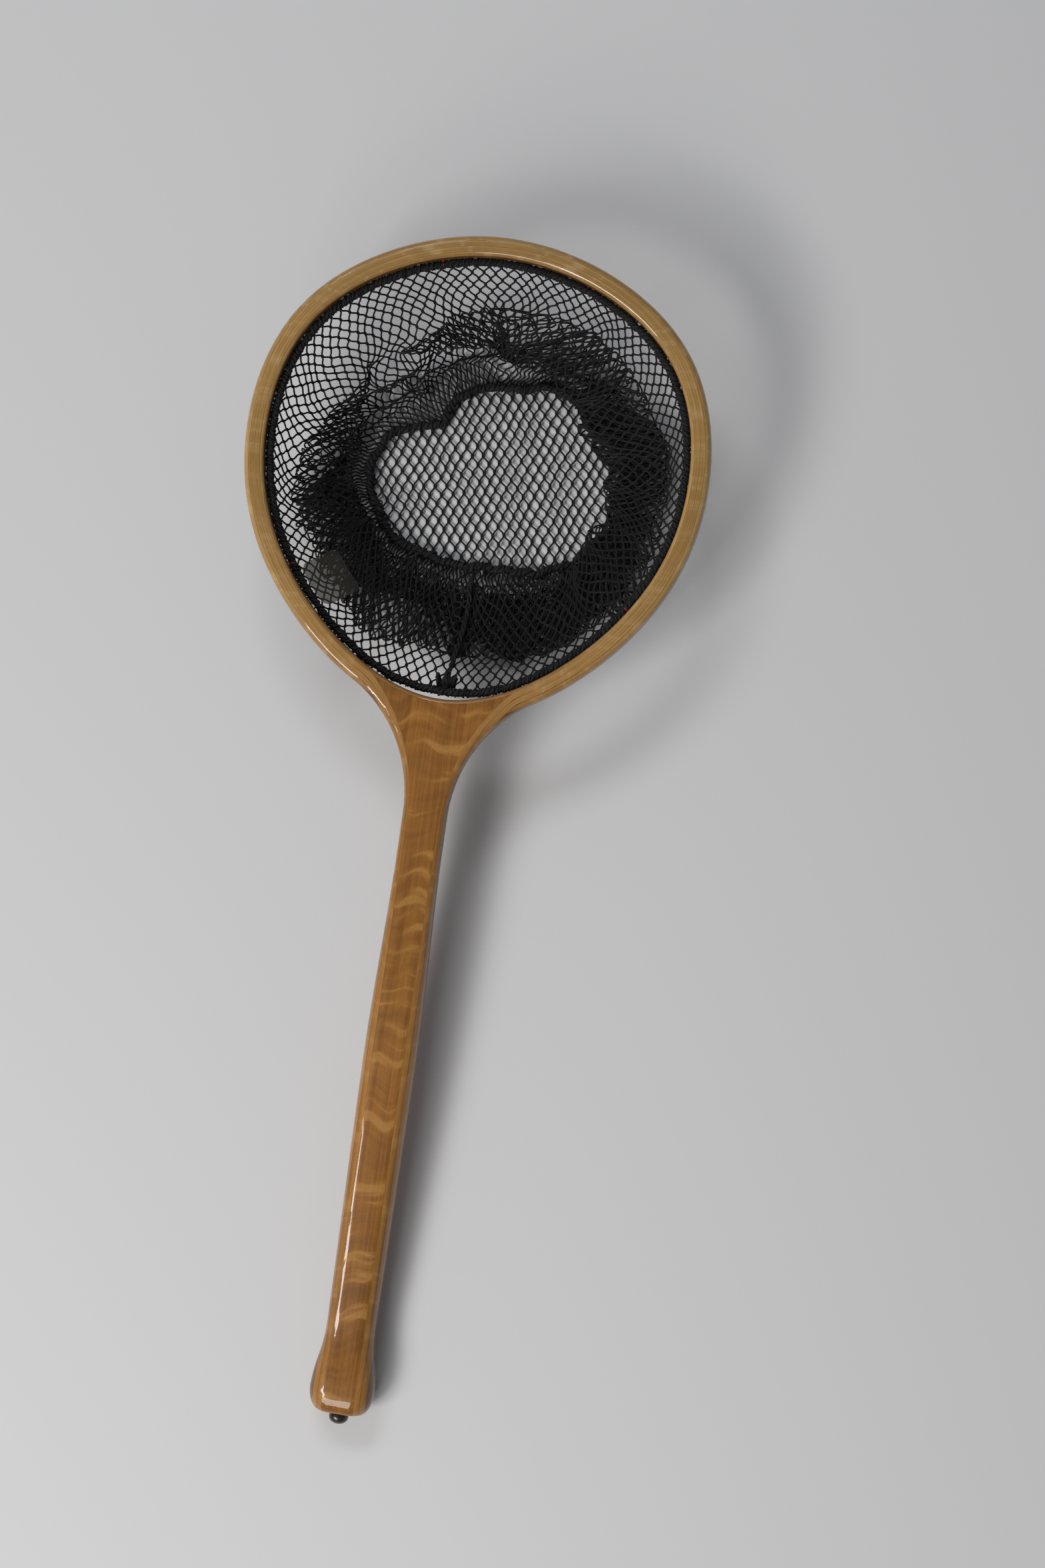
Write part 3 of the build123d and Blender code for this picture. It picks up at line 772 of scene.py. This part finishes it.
WALL_PARTS = 4
for part in range(WALL_PARTS):
    numbers = range(part * STRANDS // WALL_PARTS, (part + 1) * STRANDS // WALL_PARTS)
    piece = tubes(f"bag_wall_netting_{part + 1}", [wall_strand(n) for n in numbers],
                  STRAND_RADIUS, net_fibre)
    if part == 0:
        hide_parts("bag_wall")

# %% Strands of the bottom panel
PANEL_GRAIN = math.radians(12)
PANEL_LIFT, PANEL_RISE = 0.0010, 0.0018
PANEL_MESH = 0.0065           # from one double side to the next, across the strands
PANEL_STEP = PANEL_MESH * 0.84
PANEL_REACH = 0.095           # strands are drawn this far from the middle, then cut at the seam
UNEVEN = 0.0012


def flat_noise(place, seed, speed):
    """A smooth value from -1 to 1 over the table."""
    return noise.noise(Vector((place.x * speed, place.y * speed, seed)))


def panel_strands():
    """Zigzag strands across the panel, each cut off at the seam."""
    lines = []
    spacing = PANEL_MESH / 2
    count = int(PANEL_REACH / spacing)
    turn = Matrix.Rotation(PANEL_GRAIN, 2)
    for number in range(-count, count + 1):
        line = []
        for step in range(-18, 19):
            side = 1 if (step + number) % 2 == 0 else -1
            for part, lean in STRAND_SHAPE:
                across = number * spacing + side * lean * (spacing / 2 - DOUBLE_GAP)
                place = turn @ Vector((across, (step + part) * PANEL_STEP))
                place += UNEVEN * Vector((flat_noise(place, 1, 60), flat_noise(place, 5, 60)))
                edge = panel_edge(math.degrees(math.atan2(place.y, place.x))) - PANEL_CENTRE
                if place.length < edge.length:
                    rise = PANEL_LIFT + PANEL_RISE * abs(flat_noise(place, 9, 35))
                    line.append((place.x + PANEL_CENTRE.x, place.y + PANEL_CENTRE.y, rise))
        if len(line) > 2:
            lines.append(np.array(line))
    return lines


panel = tubes("bag_bottom_netting", panel_strands(), STRAND_RADIUS, net_fibre)
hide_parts("bag_bottom_panel")

# %% [markdown]
# ## Ropes: the rim and the seam
# A rope is a few plies that wind round one middle line. The rim of the bag is gathered onto
# such a rope, and round it goes a close lashing. The seam of the bottom panel is the same
# thing, thinner and less even.

# %% Rope helper


def square_directions(line, closed):
    """At each point of a line, the directions to its side and to its upper side."""
    if closed:
        ahead = np.roll(line, -1, axis=0) - np.roll(line, 1, axis=0)
    else:
        ahead = np.gradient(line, axis=0)
    ahead /= np.linalg.norm(ahead, axis=1)[:, None]
    side = np.cross(ahead, (0.0, 0.0, 1.0))
    side /= np.linalg.norm(side, axis=1)[:, None]
    return side, np.cross(side, ahead)


def wound(line, radius, turns, phase, closed=True, uneven=0.0, seed=0.0):
    """A line that winds round a middle line a number of times."""
    side, lift = square_directions(line, closed)
    share = np.arange(len(line)) / len(line)
    angle = 2 * math.pi * (turns * share + phase)
    swell = np.array([1 + uneven * noise.noise(Vector((s * turns * 0.9, seed, 3.0)))
                      for s in share])
    offset = (np.cos(angle) * radius * swell)[:, None] * side
    return line + offset + (np.sin(angle) * radius * swell)[:, None] * lift


def ring(count, place):
    """Evenly spaced points round a closed ring, from a function of the share."""
    return np.array([place(i / count) for i in range(count)])


def plies(line, radius, turns, count=3, **settings):
    """A few lines that wind round a middle line at even distances."""
    seed = settings.pop("seed", 0.0)
    return [wound(line, radius, turns, phase / count, seed=seed + phase, **settings)
            for phase in range(count)]


print("rope helpers ready")

# %% Rim rope and its lashing


def rim_place(share):
    """The middle of the rim rope; by the throat it hangs a little clear of the wood."""
    turn = rim_turn(share)
    slack = 0.0024 * bump_at(turn, -90, 16) + 0.0003 * wander(share, 31.0, 12.0)
    drop = RIM_DROP + 0.0006 * wander(share, 33.0, 14.0)
    return np.array(net_point(*hoop_point(turn, RIM_OUT - abs(slack)), drop))


rim_middle = ring(1400, rim_place)
rope = tubes("rim_rope_plies", plies(rim_middle, 0.0012, 84, uneven=0.6), 0.00118, rim_fibre,
             closed=True)
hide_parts("rim_rope")
lashing_middle = ring(3200, rim_place)
lashing = [wound(lashing_middle, 0.0022, 210, 0.0, uneven=0.3, seed=8.0),
           wound(lashing_middle, 0.0023, 163, 0.4, uneven=0.45, seed=9.0)]
tubes("rim_lashing", lashing, 0.00042, rim_fibre, closed=True, sides=0)

# %% Seam of the bottom panel


def seam_place(share):
    """The middle of the seam, which rides up and down over the gathers."""
    lift = 0.0034 + 0.0010 * wander(share, 41.0, 9.0)
    return np.array(panel_edge(360 * share, 0.0012) + Vector((0, 0, lift)))


seam_middle = ring(700, seam_place)
seam = tubes("bottom_seam_plies", plies(seam_middle, 0.00135, 44, uneven=0.8, seed=4.0),
             0.00125, rim_fibre, closed=True)
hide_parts("bottom_seam")
seam_lash_middle = ring(1800, seam_place)
tubes("bottom_seam_lashing", [wound(seam_lash_middle, 0.0027, 118, 0.2, uneven=0.6, seed=6.0)],
      0.00045, rim_fibre, closed=True, sides=0)

# %% Side seam and its gathered end
# the side seam follows the first line of the wall, at the throat, and lies on top of it
seam_run = wall[: int(WALL_ROWS * 0.96), 0] + np.array([0.0, 0.0012, 0.0016])
side = tubes("side_seam_plies",
             plies(respaced(seam_run, 260), 0.0009, 16, closed=False, uneven=0.9),
             0.0007, rim_fibre)
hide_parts("side_seam")
bundle_low, bundle_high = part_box("seam_gather")
bundle_middle = (bundle_low + bundle_high) / 2
BUNDLE_HALF_LENGTH, COIL_POINTS = 0.0058, 46
knot = []
for loop in range(9):
    sway = np.array([noise.noise(Vector((loop, seed, 7))) for seed in (1, 3, 5)]) * 0.002
    angles = np.linspace(0, 2 * math.pi * 1.9, COIL_POINTS) + loop
    size = 0.0032 + 0.0009 * math.sin(loop * 2.1)
    along = np.linspace(-BUNDLE_HALF_LENGTH, BUNDLE_HALF_LENGTH, COIL_POINTS)
    coil = np.stack([along * math.cos(loop * 0.4), np.cos(angles) * size,
                     np.sin(angles) * size * 0.8], 1)
    knot.append(coil + np.array(bundle_middle) + sway)
bundle = tubes("seam_bundle", knot, 0.0008, rim_fibre)
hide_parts("seam_gather")

# %% [markdown]
# ## Red lacing
# A red thread runs in the groove round the outside of the hoop. Every 18 mm it dips through
# a hole and takes a loop round the rim rope.

# %% Thread in the groove
NECK_CENTRE = Vector((0.0944, 0.34239))
NECK_RADIUS, NECK_SWEEP, GROOVE_RUN_OUT = 0.082, 58.93, 27.0
THREAD_DEPTH = 0.00085


def groove_line():
    """The middle of the groove: up one neck curve, round the hoop and down the other."""
    reach = NECK_RADIUS + THREAD_DEPTH
    curve = [(NECK_CENTRE.x - reach * math.cos(a), NECK_CENTRE.y + reach * math.sin(a))
             for a in np.radians(np.linspace(GROOVE_RUN_OUT, NECK_SWEEP - 2, 60))]
    start = min(np.arange(-80, 0, 0.25), key=lambda t: math.dist(
        hoop_point(t, HOOP_WIDTH - THREAD_DEPTH), curve[-1]))
    right = curve + [hoop_point(t, HOOP_WIDTH - THREAD_DEPTH)
                     for t in np.linspace(start + 1.5, 90, 420)]
    return np.array([net_point(*p) for p in right + [(-x, y) for x, y in right[-2::-1]]])


thread = tubes("lacing_thread_plies",
               plies(respaced(groove_line(), 2400), 0.00028, 330, count=2, closed=False),
               0.00030, red_thread, sides=0)
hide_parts("lacing_thread")

# %% Loops round the rim
LACE_START, LACE_SPACING = 0.047, 0.018


def lace_turns():
    """The turns of the lacing holes, evenly spaced from one side of the throat to the other."""
    turns = [-90 + 0.1 * i for i in range(1801)]
    points = [opening_point(turn) for turn in turns]
    first = next(i for i, point in enumerate(points) if point[0] > LACE_START)
    lengths = walked(np.array(points[first:]))
    gaps = round(lengths[-1] / LACE_SPACING)
    right = [turns[first + int(np.abs(lengths - lengths[-1] * k / gaps).argmin())]
             for k in range(gaps + 1)]
    return right + [180 - turn for turn in reversed(right[:-1])]


LOOP_RADIUS = 0.0013
IN_GROOVE = HOOP_WIDTH - 0.0016
# one stitch as places out from the opening and up: in through the hole, round the rope, back
stitch_in = [(IN_GROOVE, 0.0), (0.004, 0.0), (0.0004, 0.0002)]
stitch_over = [(RIM_OUT + LOOP_RADIUS * math.cos(a), RIM_DROP + LOOP_RADIUS * math.sin(a))
               for a in np.radians(np.linspace(28, 330, 13))]
stitch_back = [(0.0004, -0.0004), (0.004, -0.0003), (IN_GROOVE, -0.0003)]
stitch = stitch_in + stitch_over + stitch_back
loops = [np.array([net_point(*hoop_point(turn + 0.25 * (k / 18 - 0.5), out), up)
                   for k, (out, up) in enumerate(stitch)])
         for turn in lace_turns()]
stitches = tubes("lacing_loops", loops, 0.00034, red_thread)
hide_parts("lacing_stitches")

# %% [markdown]
# ## The tab
# A small tab of smoky clear sheet hangs from the rim and lies on the netting. It is a grid,
# laid where its CAD solid is, curled a little, and given a thickness with rounded corners.

# %% Smoky tab material
TAB_TURN, TAB_SLOPE = 220.0, math.radians(38.0)
TAB_WIDTH, TAB_LENGTH, TAB_THICKNESS = 0.028, 0.027, 0.0007
tab_material, tab_shader = new_material(
    "smoky_sheet", Base_Color=(0.05, 0.043, 0.03, 1), Roughness=0.2, Alpha=0.55,
    Coat_Weight=0.35, Coat_Roughness=0.05)
place = object_place(tab_material)
scuffs = cloud(tab_material, place, scale=260.0, detail=4.0, rough=0.7)
link(tab_material, between(tab_material, scuffs, 0.4, 0.75, 0.08, 0.4),
     tab_shader.inputs["Roughness"])
smoke = cloud(tab_material, place, scale=70.0, detail=2.0)
link(tab_material, mixed(tab_material, smoke, (0.018, 0.015, 0.010, 1),
                         (0.055, 0.046, 0.032, 1)), tab_shader.inputs["Base Color"])

print("tab material", tab_material.name)

# %% Place and slope of the tab
near = net_point(*hoop_point(TAB_TURN, RIM_OUT * 2 - 0.0009), RIM_DROP)
inward = (net_point(*hoop_point(TAB_TURN, -1.0))
          - net_point(*hoop_point(TAB_TURN, 0.0))).normalized()
upward = (net_point(0, 0, 1) - net_point(0, 0, 0)).normalized()
down_slope = inward * math.cos(TAB_SLOPE) - upward * math.sin(TAB_SLOPE)
across = upward.cross(inward).normalized()
tab_normal = down_slope.cross(across).normalized()
if tab_normal.z < 0:
    tab_normal = -tab_normal
print("tab centre", [round(v, 3) for v in near + down_slope * TAB_LENGTH / 2])

# %% Tab
CORNER_FROM = 0.39            # from the middle, where the rounding of a corner starts
shape = bmesh.new()
bmesh.ops.create_grid(shape, x_segments=14, y_segments=14, size=0.5)
for vert in shape.verts:
    s, t = vert.co.x, vert.co.y + 0.5
    corner = max(abs(s) - CORNER_FROM, 0) * max(abs(t - 0.5) - CORNER_FROM, 0) * 9.0
    s, t = s * (1 - corner), 0.5 + (t - 0.5) * (1 - corner)
    curl = 0.0016 * (2 * s) ** 2 + 0.0008 * math.sin(3 * t)
    vert.co = near + across * s * TAB_WIDTH + down_slope * t * TAB_LENGTH + tab_normal * curl
bmesh.ops.recalc_face_normals(shape, faces=shape.faces)
bmesh.ops.solidify(shape, geom=shape.faces[:], thickness=TAB_THICKNESS)
for face in shape.faces:
    face.smooth = True
tab = from_shape("smoky_tab", shape, tab_material)
soften = tab.modifiers.new("soft_edge", "BEVEL")
soften.width, soften.segments, soften.limit_method = 0.0002, 2, "ANGLE"
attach(tab, "root")
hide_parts("label_tab")
print("tab faces", len(tab.data.polygons))

# %% [markdown]
# ## The lanyard button
# A dark flattened ball on a hidden brass stud. Its outline is spun round the handle's axis.

# %% Button material
button_material, button_shader = new_material(
    "dark_button", Base_Color=(0.013, 0.009, 0.007, 1), Roughness=0.28, Coat_Weight=0.4,
    Coat_Roughness=0.12)
mottle = cloud(button_material, object_place(button_material), scale=500.0, detail=3.0)
link(button_material, mixed(button_material, mottle, (0.008, 0.006, 0.005, 1),
                            (0.028, 0.018, 0.012, 1)), button_shader.inputs["Base Color"])
link(button_material, between(button_material, mottle, 0.3, 0.7, 0.2, 0.36),
     button_shader.inputs["Roughness"])
print("button material", button_material.name)

# %% Button
button_low, button_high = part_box("lanyard_button")
button_centre = (button_low + button_high) / 2
axis = (net_point(0, 1) - net_point(0, 0)).normalized()
side_way = Vector((1, 0, 0))
BUTTON_RADIUS, BUTTON_HALF_LENGTH = 0.0056, 0.0042
shape = bmesh.new()
outline = [shape.verts.new(button_centre + side_way * BUTTON_RADIUS * math.cos(a) ** 0.85
                           + axis * BUTTON_HALF_LENGTH * math.sin(a))
           for a in np.radians(np.linspace(-90, 90, 19))]
for a, b in zip(outline, outline[1:]):
    shape.edges.new((a, b))
bmesh.ops.spin(shape, geom=shape.verts[:] + shape.edges[:], cent=button_centre, axis=axis,
               angle=2 * math.pi, steps=40, use_merge=True, use_duplicate=False)
bmesh.ops.remove_doubles(shape, verts=shape.verts, dist=1e-6)
bmesh.ops.recalc_face_normals(shape, faces=shape.faces)
for face in shape.faces:
    face.smooth = True
button = from_shape("button_ball", shape, button_material)
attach(button, "root")
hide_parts("lanyard_button")
print("button centre", [round(v, 4) for v in button_centre])

# %% Stud
brass, brass_shader = new_material("turned_brass", Base_Color=(0.72, 0.5, 0.2, 1),
                                   Metallic=1.0, Roughness=0.3)
rings = cloud(brass, stretched(brass, object_place(brass), (300, 4000, 300)), detail=2.0)
link(brass, between(brass, rings, 0.3, 0.7, 0.2, 0.42), brass_shader.inputs["Roughness"])
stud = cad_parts["button_stud"]
stud.data.materials.clear()
stud.data.materials.append(brass)
print("stud material", brass.name)

# %% [markdown]
# ## Floor, light and camera
# A pale matt floor and three window-shaped soft lights: a broad one from the left beyond the
# butt, one from beyond the hoop, and a small one that puts a crisp patch on the varnish. An
# even, weak glow from all round keeps the shadows open.

# %% Floor
floor_material, floor_shader = new_material("pale_floor", Base_Color=(0.61, 0.61, 0.617, 1),
                                            Roughness=0.75, Specular_IOR_Level=0.2)
shape = bmesh.new()
bmesh.ops.create_grid(shape, x_segments=1, y_segments=1, size=4.0)
bmesh.ops.translate(shape, verts=shape.verts, vec=(0, 0, -0.0005))
floor = from_shape("floor", shape, floor_material)
print("floor at", round(floor.data.vertices[0].co.z, 4), "m")

# %% Lights


def area_light(name, place, aim, size, power, colour):
    """A rectangular soft light at a place, facing a point."""
    data = bpy.data.lights.new(name, "AREA")
    data.shape = "RECTANGLE"
    data.size, data.size_y = size
    data.energy = power
    data.color = colour
    lamp = bpy.data.objects.new(name, data)
    lamp.location = place
    lamp.rotation_euler = (Vector(aim) - Vector(place)).to_track_quat("-Z", "Y").to_euler()
    scene.collection.objects.link(lamp)
    print(name, power, "W")


area_light("broad_window", (-1.25, -1.4, 2.05), (0.0, -0.05, 0.0), (1.1, 0.85), 42.0,
           (1.0, 0.99, 0.97))
area_light("north_window", (-0.6, 1.5, 1.9), (0.0, 0.1, 0.0), (1.2, 0.5), 16.0,
           (0.97, 0.98, 1.0))
area_light("small_window", (-0.5, -1.55, 1.35), (0.0, -0.2, 0.0), (0.85, 0.6), 10.0,
           (1.0, 0.97, 0.93))
world = bpy.data.worlds.new("studio")
world.use_nodes = True
glow = world.node_tree.nodes["Background"]
glow.inputs["Color"].default_value = (0.86, 0.88, 0.92, 1)
glow.inputs["Strength"].default_value = 0.19
scene.world = world
scene.view_settings.view_transform = "Standard"

# %% Camera
camera_data = bpy.data.cameras.new("camera")
camera_data.lens = 57.5
camera_data.sensor_width = 36.0
camera_data.clip_start, camera_data.clip_end = 0.05, 20.0
camera = bpy.data.objects.new("camera", camera_data)
camera.location = (0.1837, -0.1106, 1.4534)
camera.rotation_euler = [math.radians(a) for a in (6.617, 4.39, 8.72)]
scene.collection.objects.link(camera)
scene.camera = camera
print("camera lens", camera_data.lens, "mm")
